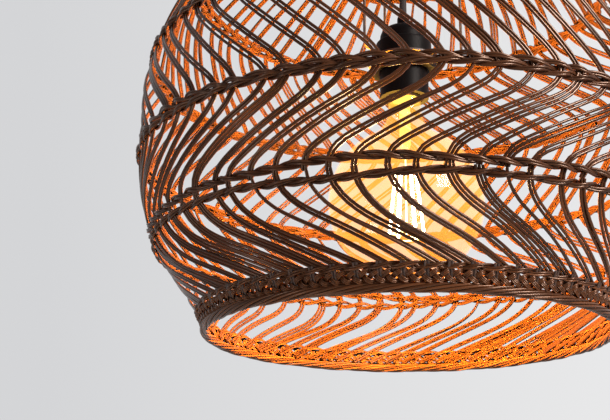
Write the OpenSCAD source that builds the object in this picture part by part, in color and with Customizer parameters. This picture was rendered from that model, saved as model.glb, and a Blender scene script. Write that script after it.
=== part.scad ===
// Pendant ceiling light with a woven cane shade, an E27 lampholder and a globe lamp.
// The origin is the centre of the strap's top face, which is screwed to the ceiling.

/* [Hanging] */
// Ceiling to the lowest edge of the shade
drop = 570; // [520:5:640]
// Diameter of the round cord
cord_d = 6; // [5:0.5:7]

/* [Shade] */
// Number of ribs round the shade, each a pair of canes
rib_count = 66; // [54:2:72]
// Diameter of one rib cane
cane_d = 2; // [1.6:0.1:2.2]
// Diameter of one strand of a twined row
strand_d = 2; // [1.6:0.1:2.2]
// Angle round the shade that a rib swings through between two bands
lean = 24; // [18:1:26]
// Steepest slant of a rib between two bands, from upright
rib_slant = 62; // [56:1:64]
// Outer diameter of the rim border
rim_d = 324; // [314:2:334]
// Diameter of the wall at the top of the rim
rim_top_d = 330; // [320:2:340]
// Height of the rim's top row above the lowest edge
rim_h = 20; // [20:0.5:23]
// Thickness of the rolled rim border
border_d = 9; // [7:0.5:10]
// Thickness of one strand of the rim braid
braid_d = 3.2; // [2.6:0.1:3.4]
// Diameter of the wall at band A
band_a_d = 400; // [390:2:410]
// Height of band A above the lowest edge
band_a_h = 74; // [68:1:78]
// Gap between the middles of the two rows of band A
band_a_gap = 9.4; // [8:0.2:12]
// Diameter of the wall at band B, the widest
band_b_d = 428; // [416:2:440]
// Height of band B above the lowest edge
band_b_h = 141; // [136:1:146]
// Diameter of the wall at band C
band_c_d = 412; // [402:2:422]
// Height of band C above the lowest edge
band_c_h = 221; // [215:1:226]
// Diameter of the wall at band D
band_d_d = 340; // [330:2:350]
// Height of band D above the lowest edge
band_d_h = 294; // [288:1:299]
// Diameter of the wall at band E
band_e_d = 232; // [222:2:240]
// Height of band E above the lowest edge
band_e_h = 348; // [344:1:353]
// Diameter of the wire ring round the top opening
top_ring_d = 96; // [88:2:104]
// Height of the top ring above the lowest edge
top_ring_h = 377; // [373:1:383]
// Wire of the top ring
ring_wire = 3; // [2.8:0.1:3.4]
// Wire of the drop frame's rods
rod_wire = 2.4; // [2:0.1:2.6]

/* [Lampholder] */
// Outer diameter of the threaded skirt
skirt_d = 40; // [39:0.5:42]
// Height of the skirt's lower edge above the shade's lowest edge
skirt_h = 200; // [194:1:206]
// Outer diameter of the flange that the shade hangs under
flange_d = 46; // [45:0.5:50]
// Diameter of the small upper dome
dome_d = 39; // [36:0.5:42]
// Wall of the lampholder's mouldings
holder_wall = 2; // [1.6:0.1:2.2]
// Outer diameter of the frame's fitter plate
fitter_d = 60; // [56:1:64]
// Outer diameter of the screwed shade ring
ring_d = 54; // [52:0.5:56]
// Height of the screwed shade ring
ring_h = 8; // [6:0.5:10]

/* [Lamp] */
// Diameter of the glass globe
globe_d = 125; // [115:1:127]
// Overall length of the lamp
lamp_l = 178; // [174:1:182]
// Outer diameter of the E27 cap
lamp_cap_d = 26.2; // [26:0.1:26.4]
// Wall of the glass
glass_t = 1; // [0.8:0.1:1.4]
// Number of light filaments
filament_count = 6; // [4:1:8]

/* [Ceiling fitting] */
// Outer diameter of the ceiling cup
cup_d = 100; // [96:1:110]
// Height of the ceiling cup
cup_h = 60; // [59:0.5:66]
// Wall of the ceiling cup
cup_t = 1.2; // [1:0.1:1.6]
// Distance between the middles of the two strap slots
slot_pitch = 60; // [56:1:64]
// Width of a strap slot
slot_w = 4.5; // [4:0.1:5]
// Length of a strap slot from end to end
slot_l = 10; // [8:0.5:12]
// Thickness of the strap
strap_t = 2; // [1.6:0.1:2.4]
// Wire of the ceiling hook
hook_wire = 4; // [3.6:0.1:4.2]
// Wire of the hanger link
link_wire = 3; // [2.6:0.1:3]

/* [Hidden] */
$fn = 72;

fit = 0.1;        // radial clearance of a turned or sliding fit
seat = 0.3;       // gap left where a curved piece rests on another
eps = 0.01;

cane_brown = "saddlebrown";
dark_brown = "#3b2418";
black = "#1c1c1e";
steel = "silver";
brass = "goldenrod";

// ------------------------------------------------------------ ceiling fitting

screw_d = 3;                                      // side and clamp screws
screw_head_d = 5.6;
screw_head_h = 2;
strap_w = 20;
tab_h = 14;
strap_bend = 1.5;                                 // inner radius of the strap's bends
side_screw_z = -9;
cup_r_in = cup_d / 2 - cup_t;
tab_x = sqrt(pow(cup_r_in - seat, 2) - pow(strap_w / 2, 2));
outlet_d = cord_d + 8;                            // leaves the cord room to swing
cable_hole_d = 10;
cable_hole_x = -15;

shank_d = 5;
nut_flats = 8;
nut_h = 4;
hook_r = 6.5;                                     // middle of the hook's wire
shank_l = 9;
saddle_z = -shank_l - 2 * hook_r;                 // middle of the wire that carries the link

link_r = hook_wire / 2 + link_wire / 2 + seat;    // half the link's inner bow
link_corner = 2.3;
link_leg = 8;
eye_z = saddle_z - link_leg - link_corner;        // middle of the wire that carries the eye
eye_wire = 3;
eye_r = link_wire / 2 + eye_wire / 2 + seat;

grip_w = 18;
grip_t = 14;
grip_top_z = eye_z - eye_r - eye_wire / 3;
grip_h = 18;
grip_base_z = grip_top_z - grip_h;
clamp_h = 9;
clamp_split = 1;                                  // from the cord's middle to the split
clamp_gap = 0.3;
cord_top_z = grip_base_z + clamp_h + 2;
grip_screw_x = 6.3;

lead_d = 2;
lead_off = 1.4;                                   // from the cord's middle to a conductor
lead_bend = 2.6;
lead_z = cord_top_z + 0.5 + lead_bend;
sleeve_y = 3.6;
lead_spread = 20;                                 // angle at which the conductors part
spread_bend = 6;                                  // radius that turns them straight again
lead_run = (sleeve_y - lead_off - lead_bend * sin(lead_spread)
            - spread_bend * (1 - cos(lead_spread))) / sin(lead_spread);

block_l = 16;
block_w = 16.4;
block_h = 12;
block_x = grip_w / 2;
block_top_z = lead_z + 6;
sleeve_d = 5.4;
sleeve_bore = 3;
sleeve_l = 13;
sleeve_x = block_x + (block_l - sleeve_l) / 2;
clamp_screw_d = 2.6;
clamp_screw_xs = [sleeve_x + 3, sleeve_x + sleeve_l - 3];

// Points of a quarter round of radius r about [cx, cy], from angle a to angle b.
function round_off(cx, cy, r, a, b, n = 8) =
  [for (i = [0 : n]) let (t = a + (b - a) * i / n) [cx + r * cos(t), cy + r * sin(t)]];

// Two rounds of the cup's wall meet at the flat floor.
module cup_outline(r, floor_z, round_r)
  rotate_extrude()
    polygon(concat(
      [[0, eps], [r, eps]],
      round_off(r - round_r, floor_z + round_r, round_r, 0, -90),
      [[0, floor_z]]));

module along_x(x, y, z) translate([x, y, z]) rotate([0, 90, 0]) children();
module along_y(x, y, z) translate([x, y, z]) rotate([-90, 0, 0]) children();

module ceiling_strap() {
  bend_out = strap_bend + strap_t;
  color(steel)
    difference() {
      union() {
        translate([-(tab_x - bend_out), -strap_w / 2, -strap_t])
          cube([2 * (tab_x - bend_out), strap_w, strap_t]);
        for (s = [0, 1])
          mirror([s, 0, 0]) {
            translate([tab_x - strap_t, -strap_w / 2, -tab_h])
              cube([strap_t, strap_w, tab_h - bend_out]);
            translate([tab_x - bend_out, strap_w / 2, -bend_out])
              rotate([90, 0, 0])
                rotate_extrude(angle = 90)
                  translate([strap_bend, 0])
                    square([strap_t, strap_w]);
          }
      }
      for (x = [-1, 1] * slot_pitch / 2) {
        translate([x - (slot_l - slot_w) / 2, -slot_w / 2, -strap_t - 1])
          cube([slot_l - slot_w, slot_w, strap_t + 2]);
        for (e = [-1, 1] * (slot_l - slot_w) / 2)
          translate([x + e, 0, -strap_t - 1]) cylinder(d = slot_w, h = strap_t + 2);
      }
      translate([0, 0, -strap_t - 1]) cylinder(d = shank_d + fit, h = strap_t + 2);
      translate([cable_hole_x, 0, -strap_t - 1]) cylinder(d = cable_hole_d, h = strap_t + 2);
      along_x(-tab_x - 1, 0, side_screw_z) cylinder(d = screw_d + fit, h = 2 * tab_x + 2);
    }
}

module ceiling_hook()
  color(steel) {
    translate([0, 0, -shank_l]) cylinder(d = shank_d, h = shank_l);
    translate([0, 0, -shank_l - hook_r])
      rotate([90, 0, 0])
        rotate(-170)
          rotate_extrude(angle = 260)
            translate([hook_r, 0])
              circle(d = hook_wire);
  }

module hook_nut()
  color(steel)
    translate([0, 0, -strap_t - nut_h])
      difference() {
        cylinder(d = nut_flats / cos(30), h = nut_h, $fn = 6);
        translate([0, 0, -1]) cylinder(d = shank_d + fit, h = nut_h + 2);
      }

module ceiling_cup()
  color(black)
    difference() {
      cup_outline(cup_d / 2, -cup_h, 12);
      cup_outline(cup_d / 2 - cup_t, -cup_h + cup_t, 12 - cup_t);
      translate([-cup_d, -cup_d, -seat]) cube([2 * cup_d, 2 * cup_d, 2]);
      translate([0, 0, -cup_h - 1]) cylinder(d = outlet_d, h = cup_t + 2);
      along_x(-cup_d, 0, side_screw_z) cylinder(d = screw_d + 2 * fit, h = 2 * cup_d);
    }

module cup_screws()
  color(steel)
    for (s = [0, 1])
      mirror([s, 0, 0]) {
        along_x(tab_x - strap_t - 3, 0, side_screw_z)
          cylinder(d = screw_d, h = cup_d / 2 + seat / 3 - tab_x + strap_t + 3 + eps);
        along_x(cup_d / 2 + seat / 3, 0, side_screw_z)
          cylinder(d = screw_head_d, h = screw_head_h);
      }

// A round-cornered link of wire that hangs in the hook.
module hanger_link()
  color(steel) {
    translate([0, 0, saddle_z])
      rotate([90, 0, 90])
        rotate_extrude(angle = 180)
          translate([link_r, 0])
            circle(d = link_wire);
    for (s = [-1, 1])
      translate([0, s * link_r, saddle_z - link_leg])
        cylinder(d = link_wire, h = link_leg + eps);
    for (s = [0, 1])
      mirror([0, s, 0])
        translate([0, link_r - link_corner, saddle_z - link_leg + eps])
          rotate([90, 0, 90])
            rotate(-90)
              rotate_extrude(angle = 90)
                translate([link_corner, 0])
                  circle(d = link_wire);
    along_y(0, -(link_r - link_corner) - eps, eye_z + eps)
      cylinder(d = link_wire, h = 2 * (link_r - link_corner) + 2 * eps);
  }

module hanger_grip()
  color(black)
    difference() {
      union() {
        translate([-grip_w / 2, -grip_t / 2, grip_base_z]) cube([grip_w, grip_t, grip_h]);
        translate([0, 0, eye_z])
          rotate([90, 0, 0])
            rotate_extrude()
              translate([eye_r, 0])
                circle(d = eye_wire);
      }
      translate([-grip_w, -grip_t, grip_base_z - 1])
        cube([2 * grip_w, grip_t - clamp_split, clamp_h + 1 + clamp_gap]);
      translate([0, 0, grip_base_z - 1])
        cylinder(d = cord_d + fit, h = cord_top_z - grip_base_z + 1.2);
      translate([-2, -(sleeve_y + lead_d), cord_top_z])
        cube([grip_w, 2 * (sleeve_y + lead_d), lead_z - cord_top_z + lead_d]);
      for (x = [-1, 1] * grip_screw_x)
        along_y(x, -grip_t / 2, grip_base_z + clamp_h / 2)
          cylinder(d = screw_d + fit, h = grip_t - 3);
    }

module grip_clamp()
  color(black)
    difference() {
      translate([-grip_w / 2, -grip_t / 2, grip_base_z])
        cube([grip_w, grip_t / 2 - clamp_split - clamp_gap, clamp_h]);
      translate([0, 0, grip_base_z - 1]) cylinder(d = cord_d + fit, h = clamp_h + 2);
      for (x = [-1, 1] * grip_screw_x)
        along_y(x, -grip_t, grip_base_z + clamp_h / 2)
          cylinder(d = screw_d + fit, h = 2 * grip_t);
    }

module grip_screws()
  color(steel)
    for (x = [-1, 1] * grip_screw_x)
      along_y(x, -grip_t / 2 - screw_head_h, grip_base_z + clamp_h / 2) {
        cylinder(d = screw_head_d, h = screw_head_h);
        cylinder(d = screw_d, h = screw_head_h + grip_t - 4);
      }

module terminal_block()
  color("white")
    difference() {
      translate([block_x, -block_w / 2, block_top_z - block_h])
        cube([block_l, block_w, block_h]);
      for (y = [-1, 1] * sleeve_y) {
        along_x(sleeve_x, y, lead_z) cylinder(d = sleeve_d + fit, h = sleeve_l);
        along_x(block_x - 1, y, lead_z) cylinder(d = sleeve_bore + fit, h = block_l + 2);
        for (x = clamp_screw_xs)
          translate([x, y, lead_z]) cylinder(d = clamp_screw_d + 0.4, h = block_h);
      }
    }

module terminal_sleeves()
  color(brass)
    for (y = [-1, 1] * sleeve_y)
      difference() {
        along_x(sleeve_x + fit / 2, y, lead_z) cylinder(d = sleeve_d, h = sleeve_l - fit);
        along_x(block_x, y, lead_z) cylinder(d = sleeve_bore, h = block_l);
        for (x = clamp_screw_xs)
          translate([x, y, lead_z]) cylinder(d = clamp_screw_d + fit, h = block_h);
      }

module terminal_screws()
  color(steel)
    for (y = [-1, 1] * sleeve_y, x = clamp_screw_xs)
      translate([x, y, lead_z + lead_d / 2 + fit])
        cylinder(d = clamp_screw_d, h = block_top_z - lead_z - lead_d / 2 - 1);

// The two conductors: up out of the cord, over and apart, and straight into the block.
// The straight runs are a touch thinner than the bends and reach into them.
module cord_leads() {
  straight = 0.99 * lead_d;
  into = 0.15;
  end_x = (lead_bend + lead_run) * cos(lead_spread) + spread_bend * sin(lead_spread);
  color("sienna")
    for (s = [0, 1])
      mirror([0, s, 0])
        translate([0, lead_off, 0]) {
          translate([0, 0, cord_top_z]) cylinder(d = straight, h = 0.5 + into);
          rotate(lead_spread) {
            translate([lead_bend, 0, lead_z - lead_bend])
              rotate([90, 0, 0])
                rotate(90)
                  rotate_extrude(angle = 90)
                    translate([lead_bend, 0])
                      circle(d = lead_d);
            along_x(lead_bend - into, 0, lead_z) cylinder(d = straight, h = lead_run + 2 * into);
          }
          translate([end_x, sleeve_y - lead_off - spread_bend, lead_z])
            rotate(90)
              rotate_extrude(angle = lead_spread)
                translate([spread_bend, 0])
                  circle(d = lead_d);
          along_x(end_x - into, sleeve_y - lead_off, lead_z)
            cylinder(d = straight, h = sleeve_x + sleeve_l / 2 - end_x + into);
        }
}

// Route of the cord, from the grip down into the lampholder.
cord_route = [
  [0, 0, -43.6], [0, 0, -50], [0, 0, -65], [0, 0, -80], [0, 0, -95], [0, 0, -110],
  [0, 0, -125], [0, 0, -140], [0, 0, -155], [0, 0, -170], [0, 0, -185], [0, 0, -200],
  [0, 0, -215], [0, 0, -230], [0, 0, -245], [0, 0, -260], [0, 0, -275], [0, 0, -290],
  [0, 0, -305], [0, 0, -312]
];
cord_sides = 12;

module cord() {
  n = len(cord_route);
  points = [
    for (p = cord_route, k = [0 : cord_sides - 1])
      p + cord_d / 2 * [cos(360 * k / cord_sides), sin(360 * k / cord_sides), 0]
  ];
  walls = [
    for (i = [0 : n - 2], k = [0 : cord_sides - 1])
      let (j = (k + 1) % cord_sides, a = i * cord_sides, b = a + cord_sides)
      [a + k, a + j, b + j, b + k]
  ];
  top = [for (k = [cord_sides - 1 : -1 : 0]) k];
  bottom = [for (k = [0 : cord_sides - 1]) (n - 1) * cord_sides + k];
  color(black) polyhedron(points, concat([top, bottom], walls));
}

// ----------------------------------------------------------------- lampholder
// Heights here and below are above the shade's lowest edge.

module hung() translate([0, 0, -drop]) children();

flange_l = 7.4;                                   // height of the flange that carries the shade
fitter_t = 1.6;
body_l = 32.6;                                    // skirt below the flange
flange_h = skirt_h + body_l;                      // underside of the flange
cap_h = flange_h + flange_l;                      // joint of cap and skirt
cap_collar = 9;
dome_h = 14;                                      // height of the dome over the collar
holder_top = cap_h + cap_collar + dome_h;
dome_round = 9;
gland_d = 10;
gland_l = 12;
spigot_d = 8;
spigot_l = 4;

core_d = skirt_d - 2 * holder_wall - 2 * fit;
core_l = 15;
core_h = skirt_h + 24.3;                          // underside of the core
ledge = 2;                                        // the core rests on this shoulder
shell_wall = 0.5;
shell_d = lamp_cap_d + 0.5 + 2 * shell_wall;
shell_l = 21;
tip_room = 5;                                     // recess over the lamp's contact
lamp_top = skirt_h + 25;
contact_t = 0.5;
tongue_w = 4;

module cyl_between(d, lo, hi) translate([0, 0, lo]) cylinder(d = d, h = hi - lo);

module holder_gland()
  color(black)
    hung()
      difference() {
        union() {
          cyl_between(spigot_d, holder_top - spigot_l, holder_top + eps);
          cyl_between(gland_d, holder_top, holder_top + gland_l - 3);
          translate([0, 0, holder_top + gland_l - 3])
            cylinder(d1 = gland_d, d2 = gland_d - 2, h = 3);
        }
        cyl_between(cord_d + fit, holder_top - spigot_l - 1, holder_top + gland_l + 1);
      }

// Outline of the cap: a wide collar, and a smaller dome with a round shoulder.
module cap_outline(inset)
  rotate_extrude()
    polygon(concat(
      [[0, cap_h - (inset > 0 ? 1 : 0)],
       [flange_d / 2 - inset, cap_h - (inset > 0 ? 1 : 0)]],
      round_off(flange_d / 2 - 1.5, cap_h + cap_collar - 1.5, 1.5 - min(inset, 1.4), 0, 90, 4),
      [[dome_d / 2 - inset, cap_h + cap_collar - inset]],
      round_off(dome_d / 2 - dome_round, holder_top - dome_round, dome_round - inset, 0, 90),
      [[0, holder_top - inset]]));

module holder_cap()
  color(black)
    hung()
      difference() {
        cap_outline(0);
        cap_outline(holder_wall);
        cyl_between(spigot_d + fit, holder_top - spigot_l, holder_top + 1);
      }

module holder_skirt()
  color(black)
    hung()
      difference() {
        union() {
          cyl_between(skirt_d, skirt_h, flange_h + eps);
          cyl_between(flange_d, flange_h, cap_h);
        }
        cyl_between(core_d + 2 * fit, core_h, cap_h + 1);
        cyl_between(core_d + 2 * fit - 2 * ledge, skirt_h - 1, core_h + 1);
      }

module holder_core()
  color("white")
    hung()
      difference() {
        cyl_between(core_d, core_h, core_h + core_l);
        cyl_between(lamp_cap_d - 6, core_h - 1, core_h + tip_room);
        for (y = [-1, 1] * lead_off)
          translate([0, y, core_h + core_l - 4]) cylinder(d = lead_d + fit, h = 5);
        translate([-6.5, 0, core_h]) cylinder(d = 2.4 + fit, h = core_l - 5);
        translate([shell_d / 2, -tongue_w / 2 - fit, core_h - 1])
          cube([contact_t + 2 * fit, tongue_w + 2 * fit, 6]);
      }

module holder_leads()
  color("sienna")
    hung()
      for (y = [-1, 1] * lead_off)
        translate([0, y, core_h + core_l - 4 + fit])
          cylinder(d = lead_d, h = drop - 312 - core_h - core_l + 4 - fit);

// Springy tongue that presses on the lamp's end contact, with its rivet.
module centre_contact()
  color(brass)
    hung() {
      translate([-8, -tongue_w / 2, lamp_top + 0.3]) cube([11, tongue_w, contact_t]);
      translate([-6.5, 0, lamp_top + 0.3])
        cylinder(d = 2.4, h = core_h + core_l - 7 - lamp_top);
    }

module side_contact()
  color(brass)
    hung()
      translate([shell_d / 2 + fit, -tongue_w / 2, core_h - 8])
        cube([contact_t, tongue_w, 12]);

module thread_shell()
  color("silver")
    hung()
      difference() {
        cyl_between(shell_d, core_h - shell_l, core_h);
        cyl_between(shell_d - 2 * shell_wall, core_h - shell_l - 1, core_h + 1);
      }

// Screwed ring with a grooved edge, which clamps the frame's plate to the flange.
module shade_ring()
  color(black)
    hung()
      difference() {
        cyl_between(ring_d, flange_h - fitter_t - ring_h, flange_h - fitter_t - 2 * eps);
        cyl_between(skirt_d + 2 * fit, skirt_h, flange_h + 1);
        for (k = [0 : 23])
          rotate(15 * k)
            translate([ring_d / 2 + 0.5, 0, flange_h - fitter_t - ring_h - 1])
              cylinder(d = 2.4, h = ring_h - 1);
      }

// --------------------------------------------------------------- shade: frame

rod_bend = 4;
rod_angles = [110, 230, 350];

// Welded wire frame: the ring in the top opening, three rods and the fitter plate.
module drop_frame() {
  ring_r = top_ring_d / 2;
  plate_mid = flange_h - fitter_t / 2;
  arm_start = fitter_d / 2 - 1;
  straight = 0.99 * rod_wire;                     // a touch thinner than the bends it runs into
  into = 0.2;
  color(dark_brown)
    hung() {
      translate([0, 0, top_ring_h])
        rotate_extrude()
          translate([ring_r, 0])
            circle(d = ring_wire);
      difference() {
        cyl_between(fitter_d, flange_h - fitter_t, flange_h - eps);
        cyl_between(skirt_d + 4 * fit, skirt_h, flange_h + 1);
      }
      for (a = rod_angles)
        rotate(a)
          along_x(arm_start, 0, plate_mid)
            cylinder(d = straight, h = ring_r - rod_bend - arm_start + into);
      for (a = rod_angles)
        rotate(a)
          translate([ring_r - rod_bend, 0, plate_mid + rod_bend])
            rotate([90, 0, 0])
              rotate(-90)
                rotate_extrude(angle = 90)
                  translate([rod_bend, 0])
                    circle(d = rod_wire);
      for (a = rod_angles)
        rotate(a)
          translate([ring_r, 0, plate_mid + rod_bend - into])
            cylinder(d = straight, h = top_ring_h - plate_mid - rod_bend + into);
    }
}

// ---------------------------------------------------------------- shade: weave

pitch = 360 / rib_count;
pair_gap = 0.1;                                   // between the two canes of a rib
pair_off = (cane_d + pair_gap) / 2;
row_rise = strand_d / 2 + 0.05;                   // strands clear each other at a crossing
row_half = 2 * row_rise + 0.1;                    // half the spacing of two close rows
bow = cane_d / 2 + strand_d / 2 + 0.35;           // strand middle to rib middle
braid_rise = braid_d / 2 + 0.15;
braid_bow = cane_d / 2 + braid_d / 2 + 0.35;
end_gap = 0.25;                                   // between the ends of two lengths of rib
border_r = rim_d / 2 - border_d / 2;

// Middle of the wall at each band: radius and height.
wall = [
  [rim_top_d / 2, rim_h],
  [band_a_d / 2, band_a_h],
  [band_b_d / 2, band_b_h],
  [band_c_d / 2, band_c_h],
  [band_d_d / 2, band_d_h],
  [band_e_d / 2, band_e_h],
  [top_ring_d / 2 + ring_wire / 2 + 0.2, top_ring_h - 0.6]
];

// Slope of the wall between band i and band i + 1, from upright.
function slope(i) = atan2(wall[i + 1][0] - wall[i][0], wall[i + 1][1] - wall[i][1]);

// Slope of the rim, from the border's middle to the top row.
rim_slope = atan2(wall[0][0] - border_r, rim_h - border_d / 2);

// A point of the rim's wall, up the slope from the border's middle.
function rim_at(h) = border_r + (h - border_d / 2) * tan(rim_slope);

// One arc of a cane: starts at the origin going up and bends towards -X. side is which
// cane of the pair it is: -1 or 1, or 0 for a cane that runs alone.
module bend(r, turn, side)
  translate([-r, 0, 0])
    rotate([90, 0, 0])
      rotate_extrude(angle = turn)
        translate([r + side * pair_off, 0])
          circle(d = cane_d);

// A flat S: up, over to -X by w, and up again, h higher. The straight run is a hair
// thinner than the bends and reaches into them, so that the three make one cane.
module s_rib(w, h, slant, side) {
  s = sin(slant);
  c = cos(slant);
  r = (h * s - w * c) / (2 * (1 - c));
  run = (w * s - (1 - c) * h) / (1 - c);
  reach = 0.4;
  thin = 0.99;
  bend(r, slant, side);
  translate([-r * (1 - c), 0, r * s])
    rotate([0, -slant, 0])
      translate([side * pair_off, 0, -reach])
        cylinder(d = cane_d * thin, h = run + 2 * reach);
  translate([-r * (1 - c), 0, r * s])
    rotate([0, -slant, 0])
      translate([0, 0, run])
        rotate(180)
          bend(r, slant, -side);
}

// The ribs between band i and band i + 1. way is 1 or -1, the side they swing to. Each
// call makes one cane of every rib: side is -1 or 1, or 0 where a cane runs on alone.
module ribs(i, way, side) {
  lo = wall[i];
  hi = wall[i + 1];
  w = (lo[0] + hi[0]) * sin(lean / 2);
  dx = (hi[0] - lo[0]) * cos(lean / 2);
  h = norm([dx, hi[1] - lo[1]]) - 2 * end_gap;
  slant = min(rib_slant, 1.8 * atan(w / h));
  start = way > 0 ? 0 : lean;
  for (k = [0 : rib_count - 1])
    rotate(k * pitch + start + way * lean / 2)
      translate([lo[0] * cos(lean / 2), -way * lo[0] * sin(lean / 2), lo[1]])
        rotate([0, atan2(dx, hi[1] - lo[1]), 0])
          translate([0, 0, end_gap])
            rotate(-90 * way)
              s_rib(w, h, slant, side);
}

// Short ends of the canes that stand in the rolled border.
module rim_stakes()
  color(cane_brown)
    hung()
      for (k = [0 : rib_count - 1])
        rotate(k * pitch + lean)
          translate([border_r, 0, border_d / 2])
            rotate([0, rim_slope, 0])
              for (side = [-1, 1])
                translate([0, side * pair_off, border_d / 2 + fit])
                  cylinder(d = cane_d, h = (rim_h - border_d / 2) / cos(rim_slope)
                                           - border_d / 2 - fit - end_gap);

// One stitch of a strand: an arc from crossing to crossing, outside or inside a rib.
module stitch(r, tilt, side, hand, d, rise, out) {
  half = r * sin(pitch / 2);
  sag = r * (1 - cos(pitch / 2)) * cos(tilt);
  depth = out + side * sag;
  turn = 2 * atan(depth / half);
  big = half / sin(turn);
  translate([r * cos(pitch / 2), 0, 0])
    rotate([0, tilt, 0])
      rotate([side * hand * atan(rise / half), 0, 0])
        mirror([side > 0 ? 0 : 1, 0, 0])
          translate([depth - big, 0, 0])
            rotate(-turn)
              rotate_extrude(angle = 2 * turn)
                translate([big, 0])
                  circle(d = d);
}

// Two strands that twist round each other, with a rib in every opening.
module twined_row(r, h, tilt, phase, hand, d, rise, out)
  translate([0, 0, h])
    for (first = [0, 1], k = [0 : rib_count - 1])
      rotate(k * pitch + phase)
        stitch(r, tilt, (k + first) % 2 == 0 ? 1 : -1, hand, d, rise, out);

// A row beside band i, up its wall by step (down if negative).
module band_row(i, step, phase, hand) {
  tilt = slope(step > 0 ? i : i - 1);
  color(dark_brown)
    hung()
      twined_row(
        wall[i][0] + step * sin(tilt), wall[i][1] + step * cos(tilt),
        tilt, phase, hand, strand_d, row_rise, bow);
}

module rim_border()
  color(dark_brown)
    hung()
      translate([0, 0, border_d / 2])
        rotate_extrude()
          translate([border_r, 0])
            circle(d = border_d);

module rim_braid() {
  h = border_d + 0.5 + braid_rise + braid_d / 2;
  color(dark_brown)
    hung()
      twined_row(rim_at(h), h, rim_slope, lean, -1, braid_d, braid_rise, braid_bow);
}

module rim_row() {
  h = rim_h - row_half / 2;
  color(dark_brown)
    hung()
      twined_row(rim_at(h), h, rim_slope, lean, 1, strand_d, row_rise, bow);
}

// Two hoops that hold the ends of the ribs at the top ring, one on each side of them.
module top_binding() {
  tilt = slope(5);
  back = 3;
  color(dark_brown)
    hung()
      for (side = [-1, 1])
        translate([0, 0, wall[6][1] - back * cos(tilt) - side * bow * sin(tilt)])
          rotate_extrude()
            translate([wall[6][0] - back * sin(tilt) + side * bow * cos(tilt), 0])
              circle(d = strand_d);
}

module ribs_rim_a_left() color(cane_brown) hung() ribs(0, -1, -1);
module ribs_rim_a_right() color(cane_brown) hung() ribs(0, -1, 1);
module ribs_a_b_left() color(cane_brown) hung() ribs(1, 1, 1);
module ribs_a_b_right() color(cane_brown) hung() ribs(1, 1, -1);
module ribs_b_c_left() color(cane_brown) hung() ribs(2, -1, -1);
module ribs_b_c_right() color(cane_brown) hung() ribs(2, -1, 1);
module ribs_c_d_left() color(cane_brown) hung() ribs(3, 1, 1);
module ribs_c_d_right() color(cane_brown) hung() ribs(3, 1, -1);
module ribs_d_e() color(cane_brown) hung() ribs(4, -1, 0);
module ribs_e_top() color(cane_brown) hung() ribs(5, 1, 0);

module band_a_lower() band_row(1, -band_a_gap / 2, 0, 1);
module band_a_upper() band_row(1, band_a_gap / 2, 0, -1);
module band_b_lower() band_row(2, -row_half, lean, 1);
module band_b_upper() band_row(2, row_half, lean, -1);
module band_c_lower() band_row(3, -row_half, 0, 1);
module band_c_upper() band_row(3, row_half, 0, 1);
module band_d_lower() band_row(4, -row_half, lean, 1);
module band_d_upper() band_row(4, row_half, lean, -1);
module band_e_row() band_row(5, -row_half / 2, 0, 1);

// ------------------------------------------------------------------------ lamp

globe_r = globe_d / 2;
globe_h = lamp_top - lamp_l + globe_r;            // middle of the globe
neck_r = 13.5;
neck_fillet = 30;
cap_l = 26.5;
cap_wall = 0.4;
cap_base = lamp_top - cap_l;                      // lower edge of the metal cap
neck_in_r = lamp_cap_d / 2 - cap_wall - 0.15;     // neck inside the cap
fillet_h = globe_h + sqrt(pow(globe_r + neck_fillet, 2) - pow(neck_r + neck_fillet, 2));
meet = atan2(fillet_h - globe_h, neck_r + neck_fillet);  // where globe and neck meet

// Outline of the glass, offset inwards by t: globe, hollow neck curve, straight neck.
module bulb_outline(t, open)
  rotate_extrude()
    polygon(concat(
      round_off(0, globe_h, globe_r - t, -90, meet, 30),
      round_off(neck_r + neck_fillet, fillet_h, neck_fillet + t, 180 + meet, 180, 8),
      [[neck_r - t, cap_base - 0.2], [neck_in_r - t, cap_base - 0.2],
       [neck_in_r - t, cap_base + 8 + open], [0, cap_base + 8 + open]]));

module lamp_glass()
  color([0.9, 0.6, 0.2, 0.4])
    hung()
      difference() {
        bulb_outline(0, 0);
        bulb_outline(glass_t, 1);
      }

module lamp_cap()
  color(brass)
    hung()
      difference() {
        union() {
          cyl_between(lamp_cap_d, cap_base, lamp_top - 5.5);
          translate([0, 0, lamp_top - 5.5 - eps])
            cylinder(d1 = lamp_cap_d, d2 = 20, h = 2);
        }
        cyl_between(lamp_cap_d - 2 * cap_wall, cap_base - 1, lamp_top - 5.9);
        cyl_between(12, cap_base, lamp_top);
      }

module lamp_insulator()
  color("black")
    hung()
      difference() {
        union() {
          cyl_between(12 - fit, lamp_top - 6.5, lamp_top - 3.4);
          translate([0, 0, lamp_top - 3.5]) cylinder(d1 = 18, d2 = 12, h = 2);
        }
        cyl_between(2.1, lamp_top - 8, lamp_top);
      }

module lamp_contact()
  color("silver")
    hung() {
      cyl_between(9.5, lamp_top - 1.5, lamp_top);
      cyl_between(2, lamp_top - 6, lamp_top - 1.5 + eps);
    }

stem_top = cap_base + 4;
stem_tip = globe_h + 38;
upper_ring_h = globe_h + 28;
upper_ring_r = 8;
lower_ring_h = globe_h - 27;
lower_ring_r = 14;
wire_d = 1.2;
stick_d = 2;

// Glass stem with its flare, which closes the neck.
module lamp_stem()
  color([0.9, 0.8, 0.6, 0.5])
    hung()
      rotate_extrude()
        polygon(concat(
          [[0, stem_tip], [3, stem_tip], [3, stem_tip + 8], [4.5, stem_tip + 12],
           [4.5, stem_top - 10]],
          round_off(neck_in_r - glass_t - 0.2, stem_top - 10, neck_in_r - glass_t - 4.7, 180, 90),
          [[neck_in_r - glass_t - 0.2, stem_top], [0, stem_top]]));

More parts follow.
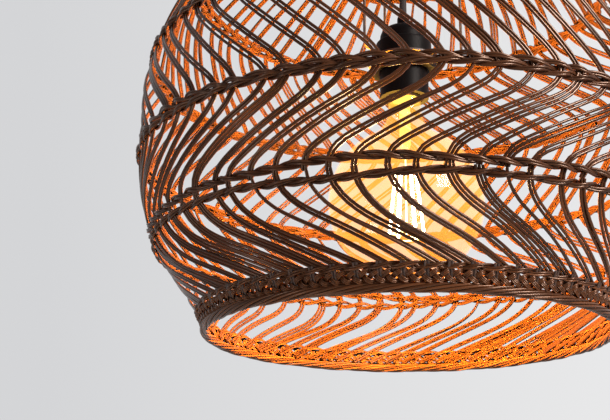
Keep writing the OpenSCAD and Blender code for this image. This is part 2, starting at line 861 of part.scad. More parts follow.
// Wire frame that stands on the stem and carries the filaments.
module filament_frame()
  color("silver")
    hung() {
      cyl_between(wire_d, lower_ring_h, stem_tip - eps);
      for (ring = [[upper_ring_r, upper_ring_h], [lower_ring_r, lower_ring_h]]) {
        translate([0, 0, ring[1]])
          rotate_extrude() translate([ring[0], 0]) circle(d = wire_d);
        for (a = [30, 210])
          rotate(a) along_x(0, 0, ring[1]) cylinder(d = wire_d * 0.8, h = ring[0]);
      }
    }

module filaments() {
  dr = lower_ring_r - upper_ring_r;
  dh = upper_ring_h - lower_ring_h;
  off = wire_d / 2 + fit;
  color("orange")
    hung()
      for (k = [0 : filament_count - 1])
        rotate(k * 360 / filament_count)
          translate([lower_ring_r, 0, lower_ring_h])
            rotate([0, -atan2(dr, dh), 0])
              translate([0, 0, off])
                cylinder(d = stick_d, h = norm([dr, dh]) - 2 * off);
}

ceiling_strap();
ceiling_hook();
hook_nut();
ceiling_cup();
cup_screws();
hanger_link();
hanger_grip();
grip_clamp();
grip_screws();
terminal_block();
terminal_sleeves();
terminal_screws();
cord_leads();
cord();
holder_gland();
holder_cap();
holder_leads();
holder_core();
centre_contact();
side_contact();
thread_shell();
holder_skirt();
shade_ring();
drop_frame();
top_binding();
ribs_e_top();
band_e_row();
ribs_d_e();
band_d_upper();
band_d_lower();
ribs_c_d_left();
ribs_c_d_right();
band_c_upper();
band_c_lower();
ribs_b_c_left();
ribs_b_c_right();
band_b_upper();
band_b_lower();
ribs_a_b_left();
ribs_a_b_right();
band_a_upper();
band_a_lower();
ribs_rim_a_left();
ribs_rim_a_right();
rim_row();
rim_braid();
rim_stakes();
rim_border();
lamp_cap();
lamp_insulator();
lamp_contact();
lamp_glass();
lamp_stem();
filament_frame();
filaments();
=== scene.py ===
"""A ceiling light with a shade of woven cane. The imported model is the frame; the canes, twists and rolls of
the shade, the lamp and the fittings get their looks here, from the ceiling down to the rim and the lamp."""
import math
import random

import bpy
from mathutils import Matrix, Vector


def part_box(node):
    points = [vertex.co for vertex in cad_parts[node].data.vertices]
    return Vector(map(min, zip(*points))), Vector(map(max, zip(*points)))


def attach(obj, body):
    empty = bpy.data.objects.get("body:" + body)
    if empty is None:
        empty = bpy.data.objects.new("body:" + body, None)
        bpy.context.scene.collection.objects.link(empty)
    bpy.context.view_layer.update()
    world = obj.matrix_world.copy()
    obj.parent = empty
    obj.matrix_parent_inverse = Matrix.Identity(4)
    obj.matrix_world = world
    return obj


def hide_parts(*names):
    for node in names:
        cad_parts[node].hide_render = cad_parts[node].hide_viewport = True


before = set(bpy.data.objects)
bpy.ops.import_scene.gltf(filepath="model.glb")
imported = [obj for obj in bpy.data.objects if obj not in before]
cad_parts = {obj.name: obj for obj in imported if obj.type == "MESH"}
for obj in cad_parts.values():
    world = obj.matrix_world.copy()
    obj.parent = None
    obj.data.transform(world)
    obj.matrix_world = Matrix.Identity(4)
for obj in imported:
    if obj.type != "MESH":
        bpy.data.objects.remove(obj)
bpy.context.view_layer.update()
bpy.ops.object.select_all(action="DESELECT")

# ------------------------------------------------------------------ the view
# From in front and below the rim, turned a little up and to the left, close, with a longish lens.
yaw, pitch, roll = math.radians(-5.51), math.radians(17.07), math.radians(0.52)
eye = (0.0074, -0.9205, -0.748)
ahead = Vector((math.sin(yaw) * math.cos(pitch), math.cos(yaw) * math.cos(pitch), math.sin(pitch)))
level = Vector((math.cos(yaw), -math.sin(yaw), 0))
above = level.cross(ahead)
right = level * math.cos(roll) + above * math.sin(roll)
up = above * math.cos(roll) - level * math.sin(roll)
bpy.ops.object.camera_add()
camera = bpy.context.active_object
camera.data.sensor_width = 36
camera.data.lens = 70.8
camera.data.clip_start = 0.02
camera.matrix_world = Matrix.Translation(eye) @ Matrix((right, up, -ahead)).transposed().to_4x4()
bpy.context.scene.camera = camera


# ------------------------------------------------------------------ the cord
# A round black cord, taut under the shade's weight: from inside the lampholder's cap up to the
# clamp in the ceiling cup. Its cover is braided, with a fine slant to the threads.
class Value:
    """A shader socket that adds, subtracts, multiplies and divides as a number does."""

    def __init__(self, shader, socket):
        self.shader, self.socket = shader, socket

    def _math(self, kind, *pair):
        return self.shader.node("ShaderNodeMath", {"operation": kind}, *pair)

    def __add__(self, o): return self._math("ADD", self, o)
    def __radd__(self, o): return self._math("ADD", o, self)
    def __sub__(self, o): return self._math("SUBTRACT", self, o)
    def __rsub__(self, o): return self._math("SUBTRACT", o, self)
    def __mul__(self, o): return self._math("MULTIPLY", self, o)
    def __rmul__(self, o): return self._math("MULTIPLY", o, self)
    def __truediv__(self, o): return self._math("DIVIDE", self, o)
    def __rtruediv__(self, o): return self._math("DIVIDE", o, self)
    def clamp(self): return self.shader.node("ShaderNodeClamp", {}, self)


class Shader:
    """One shader of a node tree, and what feeds it."""

    def __init__(self, tree, name):
        self.tree, self.end = tree, tree.nodes[name]

    def node(self, kind, settings, *values, out=0):
        """Adds a node. Its inputs are given in order, or as one dict by name or number."""
        n = self.tree.nodes.new(kind)
        for key, value in settings.items():
            if key == "stops":
                ramp = n.color_ramp
                while len(ramp.elements) < len(value):
                    ramp.elements.new(0.5)
                for e, (at, colour) in zip(ramp.elements, value):
                    e.position, e.color = at, (*colour, 1)
            else:
                setattr(n, key, value)
        pairs = values[0].items() if len(values) == 1 and isinstance(values[0], dict) else enumerate(values)
        for key, value in pairs:
            self.link(n.inputs[key], value)
        return Value(self, n.outputs[out])

    def link(self, socket, value):
        if isinstance(value, Value):
            self.tree.links.new(value.socket, socket)
        elif isinstance(value, tuple) and len(value) == 3 and socket.type == "RGBA":
            socket.default_value = (*value, 1)
        else:
            socket.default_value = value

    def set(self, **sockets):
        """Sets the shader's own sockets, named in small letters with _ for a space."""
        for key, value in sockets.items():
            self.link(self.end.inputs[key.replace("_", " ").title().replace("Ior", "IOR")], value)

    def mix(self, share, a, b):
        return self.node("ShaderNodeMix", {"data_type": "RGBA"}, {0: share, 6: a, 7: b}, out=2)


class Paint(Shader):
    """A material made of one Principled shader."""

    def __init__(self, name):
        self.material = bpy.data.materials.new(name)
        self.material.use_nodes = True
        super().__init__(self.material.node_tree, "Principled BSDF")

    def place(self):
        """Where a point lies on its piece."""
        return self.node("ShaderNodeTexCoord", {}, out=3)

    def attribute(self, name, out=2):
        """A value kept on the piece's surface: a number, or with out=1 a vector."""
        return self.node("ShaderNodeAttribute", {"attribute_name": name}, out=out)

    def noise(self, scale, detail=2.0, rough=0.5, where=None):
        return self.node("ShaderNodeTexNoise", {}, {
            "Vector": where or self.place(), "Scale": scale, "Detail": detail, "Roughness": rough})

    def stretch(self, where, x, y, z):
        return self.node("ShaderNodeVectorMath", {"operation": "MULTIPLY"}, where, (x, y, z))

    def bump(self, height, strength, distance):
        return self.node("ShaderNodeBump", {}, {"Strength": strength, "Distance": distance, "Height": height})


sharp_angle = math.radians(75)      # above the 60 degrees between the faces of a six-sided cane


def canes(name, lines, thick, sides=6, loop=False):
    """Lays a round cane along each line of points and joins them into one piece.

    A point is x, y and z, and may have a fourth value that swells the cane there. Each cane keeps
    three values along its surface: 'grain', its round and its run for streaks that follow it, and
    'tone', a shade of its own."""
    curve = bpy.data.curves.new(name, "CURVE")
    curve.dimensions, curve.fill_mode = "3D", "FULL"
    curve.bevel_depth, curve.bevel_resolution = thick / 2, (sides - 4) // 2
    for line in lines:
        spline = curve.splines.new("POLY")
        spline.points.add(len(line) - 1)
        for point, at in zip(spline.points, line):
            point.co = (*at[:3], 1)
            point.radius = at[3] if len(at) > 3 else 1
        spline.use_cyclic_u = loop
        spline.use_smooth = True
    piece = bpy.data.objects.new(name, curve)
    bpy.context.collection.objects.link(piece)
    bpy.ops.object.select_all(action="DESELECT")
    piece.select_set(True)
    bpy.context.view_layer.objects.active = piece
    bpy.ops.object.convert(target="MESH")
    piece = bpy.context.active_object
    mesh = piece.data
    if sum(len(line) for line in lines) * sides != len(mesh.vertices):
        raise ValueError(f"{name} has {len(mesh.vertices)} points")
    rng = random.Random(name)
    grain, tone = [], []
    for line in lines:
        shade, along = rng.random(), rng.random()
        last = line[0]
        for at in line:
            along += (Vector(at[:3]) - Vector(last[:3])).length
            last = at
            for side in range(sides):
                a = 2 * math.pi * side / sides
                grain += (thick * math.cos(a), thick * math.sin(a), along)
                tone.append(shade)
    mesh.attributes.new("grain", "FLOAT_VECTOR", "POINT").data.foreach_set("vector", grain)
    mesh.attributes.new("tone", "FLOAT", "POINT").data.foreach_set("value", tone)
    if not loop:                    # close the two ends of every cane
        bpy.ops.object.mode_set(mode="EDIT")
        bpy.ops.mesh.select_all(action="SELECT")
        bpy.ops.mesh.fill_holes(sides=sides)
        bpy.ops.object.mode_set(mode="OBJECT")
    bpy.ops.object.shade_smooth_by_angle(angle=sharp_angle)
    return piece


# Heights in mm, with the ceiling at 0: the end in the holder, a point every 15 mm, the end in the clamp.
cord_line = [(0, 0, z / 1000) for z in (-312, *range(-305, -49, 15), -43.6)]
cord = canes("cord_cover", [cord_line], 0.006, sides=16)
cover = Paint("braided_cord")
thread = cover.attribute("grain", out=1)
weft = cover.node("ShaderNodeTexWave", {"bands_direction": "DIAGONAL"},
                  {"Vector": thread, "Scale": 260.0, "Distortion": 0.4})
cover.set(base_color=cover.mix(weft, (0.008, 0.008, 0.009), (0.03, 0.029, 0.03)), roughness=0.75,
          normal=cover.bump(weft, 0.5, 0.0003))
cord.data.materials.append(cover.material)
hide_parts("cord")
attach(cord, "pendant")


# ------------------------------------------------------- ceiling strap and hook
# A strap of zinc-plated steel screwed to the ceiling, with a hook bolted through it. The hanger's
# link, bent from the same plated steel, hangs in the hook.
def finish(paint, *nodes):
    """Puts one material on CAD nodes."""
    for name in nodes:
        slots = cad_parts[name].data.materials
        for i in range(len(slots)):
            slots[i] = paint.material
        if not slots:
            slots.append(paint.material)


zinc = Paint("zinc_plate")
cloud = zinc.noise(90.0, detail=4.0, rough=0.6)
zinc.set(base_color=zinc.mix(cloud, (0.42, 0.43, 0.44), (0.62, 0.62, 0.61)), metallic=1.0,
         roughness=0.28 + 0.25 * cloud)
finish(zinc, "ceiling_strap", "ceiling_hook", "hook_nut", "hanger_link")

# ------------------------------------------------------------------ ceiling cup
# A drawn steel cup in satin black paint, which hides the strap, the hook and the terminals. Two
# plated screws through its side hold it to the strap.
black_paint = Paint("satin_black_paint")
orange_peel = black_paint.noise(900.0)
black_paint.set(base_color=(0.018, 0.018, 0.019), roughness=0.38 + 0.12 * orange_peel,
                normal=black_paint.bump(orange_peel, 0.15, 0.0002))
finish(black_paint, "ceiling_cup")
finish(zinc, "cup_screws")

# ------------------------------------------------------------------- cord grip
# A grip and a clamp moulded in black, drawn together on the cord by two screws. They hang from the
# link and take the shade's weight off the conductors.
moulded = Paint("black_moulding")
speck = moulded.noise(1400.0)
moulded.set(base_color=(0.012, 0.012, 0.013), roughness=0.42 + 0.1 * speck,
            normal=moulded.bump(speck, 0.2, 0.0001))
finish(moulded, "hanger_grip", "grip_clamp")
finish(zinc, "grip_screws")

# ------------------------------------------------------------------- terminals
# A white moulded block with brass sleeves and plated screws, where the cord's brown conductors meet
# the supply.
white = Paint("white_block")
haze = white.noise(300.0, detail=3.0)
white.set(base_color=white.mix(haze, (0.68, 0.66, 0.61), (0.76, 0.75, 0.71)), roughness=0.5)
finish(white, "terminal_block")

brass = Paint("plain_brass")
tarnish = brass.noise(220.0, detail=4.0)
brass.set(base_color=brass.mix(tarnish, (0.48, 0.32, 0.10), (0.72, 0.52, 0.20)), metallic=1.0,
          roughness=0.25 + 0.25 * tarnish)
finish(brass, "terminal_sleeves")
finish(zinc, "terminal_screws")

conductor = Paint("conductor_cover")
dull = conductor.noise(500.0)
conductor.set(base_color=conductor.mix(dull, (0.10, 0.035, 0.012), (0.16, 0.06, 0.02)), roughness=0.45)
finish(conductor, "cord_leads")

# ------------------------------------------------------------------ lampholder
# A black moulded holder: gland, domed cap, long skirt and a screwed ring under the frame's plate.
# Inside, a glazed insert carries the plated screw shell, the brass contacts and their leads.
holder_black = Paint("holder_moulding")
fine = holder_black.noise(1100.0)
holder_black.set(base_color=(0.003, 0.003, 0.0035), roughness=0.4 + 0.12 * fine, specular_ior_level=0.07,
                 normal=holder_black.bump(fine, 0.15, 0.0001))
finish(holder_black, "holder_gland", "holder_cap", "holder_skirt", "shade_ring")

ceramic = Paint("glazed_insert")
glaze = ceramic.noise(160.0, detail=3.0)
ceramic.set(base_color=ceramic.mix(glaze, (0.72, 0.70, 0.65), (0.80, 0.79, 0.75)), roughness=0.22)
finish(ceramic, "holder_core")

shell = Paint("plated_shell")
rub = shell.noise(260.0, detail=3.0)
shell.set(base_color=shell.mix(rub, (0.50, 0.46, 0.38), (0.70, 0.67, 0.60)), metallic=1.0,
          roughness=0.3 + 0.2 * rub)
finish(shell, "thread_shell")
finish(brass, "centre_contact", "side_contact")
finish(conductor, "holder_leads")

# ------------------------------------------------------------------- drop frame
# Steel wire, welded and painted dark brown: a plate on the holder, three rods and the ring in the
# top opening. A binding of split cane ties the top of the weave to that ring.
wire_paint = Paint("brown_wire_paint")
chip = wire_paint.noise(260.0, detail=4.0, rough=0.6)
wire_paint.set(base_color=wire_paint.mix(chip, (0.035, 0.019, 0.012), (0.085, 0.048, 0.030)),
               roughness=0.38 + 0.2 * chip)
finish(wire_paint, "drop_frame")

hoops = Paint("hoop_cane")
hoop_noise = hoops.noise(420.0, detail=3.0)
hoops.set(base_color=hoops.mix(hoop_noise, (0.018, 0.008, 0.005), (0.07, 0.034, 0.022)),
          roughness=0.4 + 0.15 * hoop_noise)
finish(hoops, "top_binding")


# ----------------------------------------------------------------------- ribs
# Long round canes, dyed dark brown and varnished. They run in pairs from the top ring to the rim,
# swing to one side between two bands and to the other side between the next two.
def band_at(*nodes, thick=0.0085):
    """Radius and height of the middle of a band, from the solids that it is made of."""
    boxes = [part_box(n) for n in nodes]
    low = min(b[0][2] for b in boxes)
    high = max(b[1][2] for b in boxes)
    return max(b[1][0] for b in boxes) - thick / 2, (low + high) / 2


# The wall of the shade: its middle at each band, from the rim's top row up to the top ring.
wall = [band_at("rim_row"), *(band_at(f"band_{c}_lower", f"band_{c}_upper") for c in "abcd"),
        band_at("band_e_row"), band_at("top_binding", thick=0.0075)]
rib_count = 66
step = 2 * math.pi / rib_count
cane_thick = 0.0023
pair_gap = 0.97                     # from cane to cane in a pair, against their thickness
rib_points = 22                     # along a cane, from one band to the next
# Where a rib passes the rim, bands A to E and the top ring, as an angle round the shade.
passes = [math.radians(a) for a in (24.7, 0, 26.3, 6.3, 31.3, 24.3, 34.3)]
foot_scatter = 0.012                # radians that a rib strays where it passes a band
rim_reach = 0.0105                  # how far the lowest run goes on down inside the rim
rim_lean = math.radians(8)          # and how far round the shade it goes there
bend_range = (0.75, 1.25)           # a bend's length against the usual one
sway, parting, bow = 0.0016, 0.00022, 0.0006     # at mid-run: sideways, apart, out of the wall
third_cane, crossing = 0.16, 0.10   # how often a rib has a third cane, and a cane that crosses
crossing_lift = 0.0021              # how far the crossing cane rides over the other

dice = random.Random(66)
# For each of those seven, the angle at which every rib passes it.
feet = [[at + k * step + dice.gauss(0, foot_scatter) for k in range(rib_count)] for at in passes]


def wall_radius(z):
    """Radius of the wall at a height: a smooth curve through the bands."""
    i = max(j for j in range(len(wall) - 1) if wall[j][1] <= z or j == 0)
    (r0, z0), (r1, z1) = wall[i], wall[i + 1]
    before, after = wall[max(i - 1, 0)], wall[min(i + 2, len(wall) - 1)]
    s0 = (r1 - before[0]) / (z1 - before[1])
    s1 = (after[0] - r0) / (after[1] - z0)
    h = z1 - z0
    t = (z - z0) / h
    return ((1 + 2 * t) * (1 - t) ** 2 * r0 + t * (1 - t) ** 2 * h * s0
            + t * t * (3 - 2 * t) * r1 - t * t * (1 - t) * h * s1)


def cane_paint(name, dark, light, gloss):
    """Varnished cane: streaks along its run, a tone of its own and slow blotches, under a warm sheen."""
    p = Paint(name)
    where = p.attribute("grain", out=1)
    tone = p.attribute("tone")
    streak = p.noise(1.0, where=p.stretch(where, 700.0, 700.0, 14.0))   # fine across a cane, long along it
    blotch = p.noise(38.0)
    shade = (streak * 0.24 + tone * 0.5 + blotch * 0.45 - 0.08).clamp()
    p.set(base_color=p.mix(shade, dark, light), roughness=gloss + 0.1 * streak, specular_ior_level=0.38,
          specular_tint=(1.0, 0.70, 0.54))
    return p


def bent_cane(width, height, low, high, count):
    """Points of a cane that slants between two bands and bends up at each: across, up and slant.

    low and high give, for each end, its slant at the band and the share of its length that bends."""
    (low_slant, low_bend), (high_slant, high_bend) = low, high
    paces = 240

    def lay(slant):
        """Walks along the cane in equal paces, for one slant of its straight part."""
        x = y = 0.0
        out = []
        for n in range(paces + 1):
            s = n / paces
            low_part, high_part = max(1 - s / low_bend, 0), max(1 - (1 - s) / high_bend, 0)
            turn = (slant - (slant - low_slant) * low_part * low_part
                    - (slant - high_slant) * high_part * high_part)
            out.append((x, y, turn))
            x, y = x + math.sin(turn), y + math.cos(turn)
        return out

    # halve the range of slants until the cane reaches across by the right share of its height
    least, most = 0.0, 1.5
    for _ in range(30):
        slant = (least + most) / 2
        end = lay(slant)[-1]
        least, most = (slant, most) if end[0] / end[1] < width / height else (least, slant)
    points = lay(slant)
    scale = height / points[-1][1]
    picks = [round(n * paces / (count - 1)) for n in range(count)]
    return [(points[n][0] * scale, points[n][1] * scale, points[n][2]) for n in picks]


def rib_lines(i, low, high, dice, splay):
    """The canes of every rib between band i and the next one up. splay scales how freely they lie."""
    (r0, z0), (r1, z1) = wall[i], wall[i + 1]
    mean = (r0 + r1) / 2
    height = math.hypot(r1 - r0, z1 - z0)
    z_low = z0 - rim_reach if i == 0 else z0
    tall = height * (z1 - z_low) / (z1 - z0)
    lines = []
    for k in range(rib_count):
        foot, head = feet[i][k], feet[i + 1][k]
        way = 1 if head > foot else -1
        if i == 0:                  # the lowest run goes on into the rim at the same slant
            foot -= way * rim_lean
        width = abs(head - foot) * mean
        low_end = (low[0], low[1] * dice.uniform(*bend_range))
        high_end = (high[0], high[1] * dice.uniform(*bend_range))
        shape = bent_cane(width, tall, low_end, high_end, rib_points)
        wobble = dice.gauss(0, sway) * splay
        wide = abs(dice.gauss(0, parting)) * splay
        canes_here = 3 if dice.random() < third_cane * splay else 2
        cross = dice.random() < crossing * splay
        out = dice.gauss(0.0, bow)
        for j in range(canes_here):
            side = (j - (canes_here - 1) / 2) * way
            path = []
            for n, (x, y, slant) in enumerate(shape):
                t = n / (rib_points - 1)
                swell = math.sin(math.pi * t)
                off = side * (cane_thick * pair_gap + wide * swell * 2)
                proud = out * swell
                if cross and j == 0:
                    off = side * cane_thick * math.cos(math.pi * t)
                    proud += crossing_lift * swell
                across = x + wobble * swell + off * math.cos(slant)
                z = z_low + (z1 - z_low) * (y - off * math.sin(slant)) / tall
                angle = foot + way * across / width * abs(head - foot)
                radius = wall_radius(z) + proud
                path.append((radius * math.cos(angle), radius * math.sin(angle), z))
            lines.append(path)
    return lines


cane = cane_paint("dyed_cane", (0.010, 0.0031, 0.0012), (0.064, 0.0215, 0.0070), 0.18)
usual = (math.radians(18), 0.25)    # slant at a band, and the share of the length that bends
for node, i, low, high, splay in (
        ("ribs_e_top", 5, usual, usual, 0.4), ("ribs_d_e", 4, usual, usual, 0.6),
        ("ribs_c_d", 3, usual, usual, 1), ("ribs_b_c", 2, usual, usual, 1),
        ("ribs_a_b", 1, (0, 0.21), (math.radians(15), 0.3), 1),
        ("ribs_rim_a", 0, (math.radians(61), 0.01), (0, 0.45), 1)):
    dice = random.Random(node)
    rib = canes(node.replace("ribs", "rib_canes"), rib_lines(i, low, high, dice, splay), cane_thick)
    rib.data.materials.append(cane.material)
    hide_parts(*[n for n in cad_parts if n.startswith(node)])
    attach(rib, "pendant")

# ---------------------------------------------------------------------- bands
# Two strands of thin cane twisted round each other, with a pair of ribs in every half turn. Each
# strand is two canes laid side by side.
twist_cane = cane_paint("twisted_cane", (0.011, 0.0036, 0.0015), (0.068, 0.0235, 0.0088), 0.22)
twist_points = 8                    # along a strand, from one rib to the next
twist_scatter = 0.09                # how unevenly the half turns are pulled tight


def twist_lines(radius, height, tilt, feet, hand, dice, rope, wander):
    """Four canes: two strands, each of two canes, in a rope round the shade.

    rope gives how far the strands go in and out and up and down, and half the width of a strand.
    tilt is the lean of the wall, hand the way of the twist and wander the rope's drift in height."""
    out, rise, half_strand = rope
    lines = [[] for _ in range(4)]
    waves = [(dice.uniform(0, 2 * math.pi), dice.choice((3, 5, 7, 9))) for _ in range(3)]
    pull = [dice.gauss(1, twist_scatter) for _ in range(rib_count)]
    pull.append(pull[0])
    feet = [*feet, feet[0] + 2 * math.pi]
    for n in range(rib_count * twist_points):
        k, part = n // twist_points, n % twist_points / twist_points
        angle = feet[k] + (feet[k + 1] - feet[k]) * part
        big = pull[k] * (1 - part) + pull[k + 1] * part
        drift = sum(wander * math.sin(count * angle + start) for start, count in waves)
        for strand in (0, 1):
            turn = math.pi * (n / twist_points) + math.pi * strand
            radial = out * big * math.cos(turn)
            rises = hand * rise * big * math.sin(turn)
            for side in (-1, 1):
                # The two canes of a strand lie one above the other where it passes a rib, and roll a
                # little closer and half over each other where the strands cross.
                upward = rises + side * half_strand * (0.75 + 0.25 * abs(math.cos(turn)))
                outward = radial + side * hand * half_strand * 0.55 * math.sin(turn)
                r = radius + outward * math.cos(tilt) + upward * math.sin(tilt)
                z = height + upward * math.cos(tilt) - outward * math.sin(tilt) + drift
                lines[strand * 2 + (side + 1) // 2].append((r * math.cos(angle), r * math.sin(angle), z))
    return lines


def slope(i):
    """Lean of the wall between band i and the next one up."""
    (r0, z0), (r1, z1) = wall[i], wall[i + 1]
    return math.atan2(r1 - r0, z1 - z0)


band_rope, band_thick = (0.0026, 0.0014, 0.0009), 0.0020
for node, i, hand, wander in (
        ("band_e_row", 5, 1, 0.0003), ("band_d_upper", 4, -1, 0.0004), ("band_d_lower", 4, 1, 0.0004),
        ("band_c_upper", 3, -1, 0.0005), ("band_c_lower", 3, 1, 0.0005),
        ("band_b_upper", 2, -1, 0.0004), ("band_b_lower", 2, 1, 0.0004),
        ("band_a_upper", 1, -1, 0.0009), ("band_a_lower", 1, 1, 0.0009)):
    low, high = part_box(node)
    dice = random.Random(node)
    level_z = (low[2] + high[2]) / 2
    tilt = slope(i) if "upper" in node else slope(i - 1)
    strands = twist_lines(wall_radius(level_z), level_z, tilt, feet[i], hand, dice, band_rope, wander)
    band = canes("twist_" + node[5:], strands, band_thick, loop=True)
    band.data.materials.append(twist_cane.material)
    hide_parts(node)
    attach(band, "pendant")

# ------------------------------------------------------------------------ rim
# A twisted row, then a flat three-strand braid of cane triplets over the rib ends, then the rolled
# border: a bundle of long canes coiled round a core.
row_low, row_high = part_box("rim_row")
braid_low, braid_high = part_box("rim_braid")
edge_low, edge_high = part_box("rim_border")
edge_radius = edge_high[0] - (edge_high[2] - edge_low[2]) / 2
edge_z = (edge_low[2] + edge_high[2]) / 2
rim_tilt = math.atan2(wall[0][0] - edge_radius, wall[0][1] - edge_z)
row_sag, braid_sag, roll_sag = 0.0015, 0.0018, 0.0008     # below the middle of each row's solid


def rim_radius(z):
    """Radius of the rim at a height: a cone from the lowest row to the border."""
    return edge_radius + (z - edge_z) * math.tan(rim_tilt)


# A lighter copy of the ribs' cane, lightened as painted highlight on the rim's row, braid and border.
rim_cane = cane_paint("rim_cane", (0.016, 0.0052, 0.0021), (0.106, 0.037, 0.0135), 0.22)
dice = random.Random(7)
row_z = (row_low[2] + row_high[2]) / 2 - row_sag
row_rope, row_thick, row_wander = (0.0024, 0.0012, 0.0008), 0.0017, 0.0003
row_lines = twist_lines(rim_radius(row_z), row_z, rim_tilt, feet[0], 1, dice, row_rope, row_wander)
rim_twist = canes("rim_twist", row_lines, row_thick, loop=True)

# The braid: each strand swings up and down once a turn, and goes in and out twice, over and under
# the other two. The canes of a strand lie square to its run.
braid_z = (braid_low[2] + braid_high[2]) / 2 - braid_sag
braid_radius = rim_radius(braid_z)
braid_turns, braid_points = 44, 12
braid_swing, braid_depth, braid_out = 0.0034, 0.0019, 0.0006
braid_gap, braid_thick = 0.00106, 0.00125        # from cane to cane in a strand, and each one's thickness
pitch = 2 * math.pi * braid_radius / braid_turns
braid_lines = [[] for _ in range(9)]
for n in range(braid_turns * braid_points):
    for strand in range(3):
        turn = 2 * math.pi * (n / braid_points + strand / 3)
        lean = math.atan(braid_swing * 2 * math.pi / pitch * math.cos(turn))
        outward = braid_depth * math.sin(2 * turn) + braid_out
        for j in (-1, 0, 1):
            upward = braid_swing * math.sin(turn) + j * braid_gap * math.cos(lean)
            angle = (n * pitch / braid_points - j * braid_gap * math.sin(lean)) / braid_radius
            r = braid_radius + outward * math.cos(rim_tilt) + upward * math.sin(rim_tilt)
            z = braid_z + upward - outward * math.sin(rim_tilt)
            braid_lines[strand * 3 + j + 1].append((r * math.cos(angle), r * math.sin(angle), z))
rim_plait = canes("rim_plait", braid_lines, braid_thick, loop=True)

# The border: each cane winds nine times round the core on its way round the rim, and the coil swells
# and thins as it goes.
roll_canes, roll_turns, roll_points = 8, 9, 396
roll_size, roll_ripple, ripple_shift, roll_thick = 0.0026, 0.00035, 2.1, 0.0021
roll_lines = []
for j in range(roll_canes):
    line = []
    for n in range(roll_points):
        angle = 2 * math.pi * n / roll_points
        turn = 2 * math.pi * j / roll_canes + roll_turns * angle
        puff = roll_size + roll_ripple * math.sin(roll_turns * angle + ripple_shift * j)
        r = edge_radius + puff * math.cos(turn)
        line.append((r * math.cos(angle), r * math.sin(angle), edge_z - roll_sag + puff * math.sin(turn)))
    roll_lines.append(line)
core_points, core_swell, core_thick = 132, 1.4, 0.0027
core_line = []
for n in range(core_points):
    angle = 2 * math.pi * n / core_points
    core_line.append((edge_radius * math.cos(angle), edge_radius * math.sin(angle), edge_z - roll_sag,
                      core_swell))
rim_roll = canes("rim_roll", roll_lines, roll_thick, loop=True)
rim_core = canes("rim_core", [core_line], core_thick, loop=True)
for piece, node in ((rim_twist, "rim_row"), (rim_plait, "rim_braid"), (rim_roll, "rim_border")):
    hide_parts(node)
for piece in (rim_twist, rim_plait, rim_roll, rim_core):
    piece.data.materials.append(rim_cane.material)
    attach(piece, "pendant")

finish(hoops, "rim_stakes")

# ----------------------------------------------------------------------- lamp
# A clear globe of amber glass over a glass stem, a wire frame and lit filament sticks, on a plated
# screw cap. What is inside the globe casts no shadow, nor does the globe, so that its light reaches
# the canes.
glass = Paint("amber_glass")
glass_low, glass_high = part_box("lamp_glass")
# The globe's emission, which changes colour with height, is painted glow: it stands in for the filaments'
# light in the glass.
height = glass.node("ShaderNodeSeparateXYZ", {}, glass.place(), out=2)
glow = ((height - glass_low[2]) / (glass_high[2] - glass_low[2])).clamp()
painted_glow_stops = ((0.0, (0.85, 0.32, 0.03)), (0.5, (1.2, 0.62, 0.13)), (0.8, (1.0, 0.52, 0.06)),
         (1.0, (1.3, 0.75, 0.05)))
glass.set(base_color=(0.01, 0.004, 0.001), roughness=0.03, alpha=0.2,
          emission_color=glass.node("ShaderNodeValToRGB", {"stops": painted_glow_stops}, glow), emission_strength=1.0)
glass.material.surface_render_method = "BLENDED"
finish(glass, "lamp_glass")

# The stem's emission is painted glow, for the filaments' light in its glass.
stem = Paint("stem_glass")
stem.set(base_color=(0.02, 0.01, 0.002), roughness=0.05, alpha=0.3, emission_color=(1.0, 0.70, 0.16),
         emission_strength=2.6)
finish(stem, "lamp_stem")

filament = Paint("lit_filament")
ripple = filament.noise(700.0)
filament.set(base_color=(1.0, 0.8, 0.4), roughness=0.5,
             emission_color=filament.mix(ripple, (1.0, 0.78, 0.40), (1.0, 0.92, 0.66)),
             emission_strength=60.0)
finish(filament, "filaments")

# The frame's emission is painted glow, for the filaments' light on its wires.
frame_painted_glow = Paint("frame_wire_painted_glow")
shimmer = frame_painted_glow.noise(500.0)
frame_painted_glow.set(base_color=(0.75, 0.62, 0.42), metallic=1.0, roughness=0.3,
             emission_color=frame_painted_glow.mix(shimmer, (1.0, 0.62, 0.14), (1.0, 0.80, 0.35)),
             emission_strength=7.0)
finish(frame_painted_glow, "filament_frame")

for node in ("lamp_glass", "lamp_stem", "filaments", "filament_frame"):
    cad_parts[node].visible_shadow = False

finish(shell, "lamp_cap")
nickel = Paint("nickel_wire")
bright = nickel.noise(300.0)
nickel.set(base_color=(0.75, 0.62, 0.42), metallic=1.0, roughness=0.25 + 0.1 * bright)
finish(nickel, "lamp_contact")

black_glass = Paint("black_insulator")
ring_noise = black_glass.noise(400.0)
black_glass.set(base_color=(0.01, 0.01, 0.01), roughness=0.15 + 0.1 * ring_noise)
finish(black_glass, "lamp_insulator")

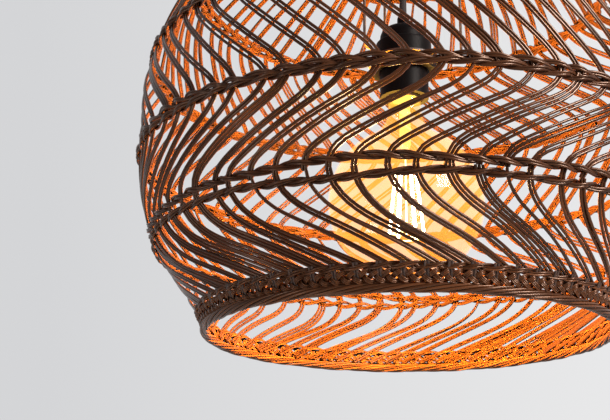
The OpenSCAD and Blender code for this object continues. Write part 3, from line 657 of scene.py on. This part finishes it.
# ------------------------------------------------------------ room and lights
# A pale room: a plain floor far below, and a grey all round that is lighter on the right and dimmer
# towards the front; a window's light from the right, a weak fill from the left, and the warm light
# of the lamp itself.
bpy.ops.mesh.primitive_plane_add(size=14, location=(0, 0, -1.75))
floor = bpy.context.active_object
floor.name = "floor"
pale = Paint("pale_floor")
grain = pale.noise(3.0)
pale.set(base_color=pale.mix(grain, (0.66, 0.66, 0.67), (0.70, 0.70, 0.70)), roughness=0.8)
floor.data.materials.append(pale.material)

world = bpy.data.worlds.new("room")
bpy.context.scene.world = world
world.use_nodes = True
sky = Shader(world.node_tree, "Background")
direction = sky.node("ShaderNodeTexCoord", {})
rightward = sky.node("ShaderNodeSeparateXYZ", {}, direction)
backward = sky.node("ShaderNodeSeparateXYZ", {}, direction, out=1)
side = sky.node("ShaderNodeMapRange", {}, {"Value": rightward, "From Min": -0.3, "From Max": 0.25})
dusk = sky.node("ShaderNodeMapRange", {}, {
    "Value": backward, "From Min": -0.5, "From Max": 0.6, "To Min": 0.35, "To Max": 1.0})
sky.set(color=sky.mix(side, (0.66, 0.665, 0.68), (0.84, 0.84, 0.845)), strength=dusk)


def light(kind, name, at, energy, colour, size, aim=None):
    """Adds a lit panel of a width, aimed at a point, or a lit ball of a radius."""
    bpy.ops.object.light_add(type=kind, location=at)
    source = bpy.context.active_object
    source.name = name
    source.data.energy, source.data.color = energy, colour
    if kind == "AREA":
        source.data.size = size
        source.rotation_euler = (Vector(aim) - Vector(at)).to_track_quat("-Z", "Y").to_euler()
    else:
        source.data.shadow_soft_size = size
    return source


light("AREA", "window", (1.5, -1.0, 0.35), energy=92, colour=(1.0, 0.90, 0.83), size=0.7, aim=(0, 0, -0.45))
light("AREA", "left_fill", (-1.6, -1.2, -0.8), energy=9, colour=(1.0, 0.92, 0.90), size=0.5,
      aim=(0, 0, -0.5))
# The lamp's light, and a weak one in the same place that alone shows in the varnish.
low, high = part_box("filaments")
lamp_mid = (0, 0, (low[2] + high[2]) / 2)
lamp_light = light("POINT", "lamp_light", lamp_mid, energy=46, colour=(1.0, 0.49, 0.045), size=0.022)
lamp_light.visible_glossy = False
light("POINT", "lamp_glint", lamp_mid, energy=4, colour=(1.0, 0.60, 0.12), size=0.020)

scene = bpy.context.scene
scene.view_settings.view_transform = "Standard"
scene.view_settings.look = "None"
